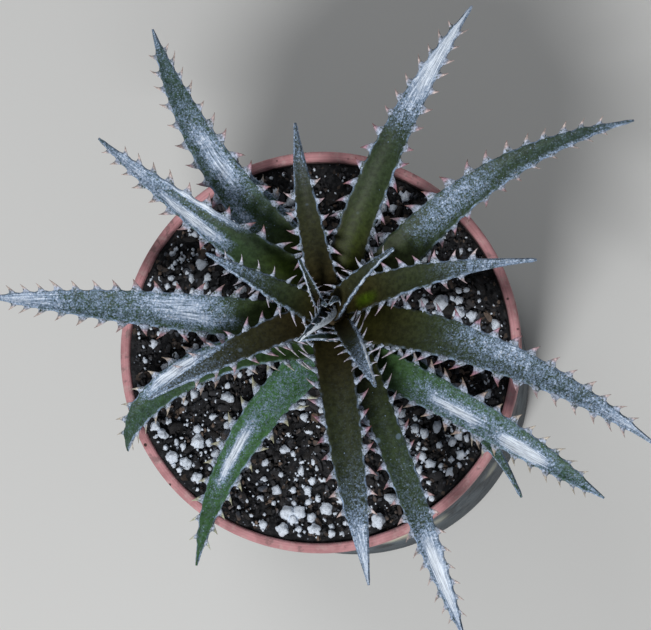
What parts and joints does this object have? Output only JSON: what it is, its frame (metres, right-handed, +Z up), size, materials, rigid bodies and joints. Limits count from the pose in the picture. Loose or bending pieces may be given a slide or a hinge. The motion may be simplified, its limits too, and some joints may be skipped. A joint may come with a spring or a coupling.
{
  "type": "potted dyckia bromeliad",
  "caption": "Spiny dyckia bromeliad: a flat rosette of narrow, dished, silver-scaled leaves with hooked spines on both margins, on a short stem in gritty soil in a straight-sided clay pot.",
  "frame": {"origin": "centre of the pot's flat underside", "axes": "+Z up along the pot's axis; +X and +Y level, with +Y towards the side where most of the tall leaves lean"},
  "size_m": [0.196, 0.1827, 0.1647],
  "materials": {
    "pot": "matte",
    "soil": "matte",
    "stem": "matte",
    "leaf": "satin"
  },
  "bodies": {
    "root": {"pot": "pot", "soil": "soil", "stem": "stem", "leaf_north_west_low": "leaf", "leaf_south_west": "leaf", "leaf_south_east_low": "leaf", "leaf_north_west": "leaf", "leaf_west_south_west_low": "leaf", "leaf_east_south_east": "leaf", "leaf_west": "leaf", "leaf_south_south_east": "leaf", "leaf_north_east": "leaf", "leaf_west_north_west": "leaf", "leaf_south": "leaf", "leaf_east": "leaf", "leaf_north_north_east": "leaf", "leaf_west_south_west": "leaf", "leaf_north": "leaf", "leaf_east_upper": "leaf", "leaf_inner_west": "leaf", "leaf_inner_north_east": "leaf", "leaf_inner_south_east": "leaf", "leaf_inner_south_west": "leaf", "leaf_innermost_north_west": "leaf", "leaf_innermost_south_west": "leaf", "heart_leaf_east": "leaf", "heart_leaf_west": "leaf"}
  },
  "joints": []
}
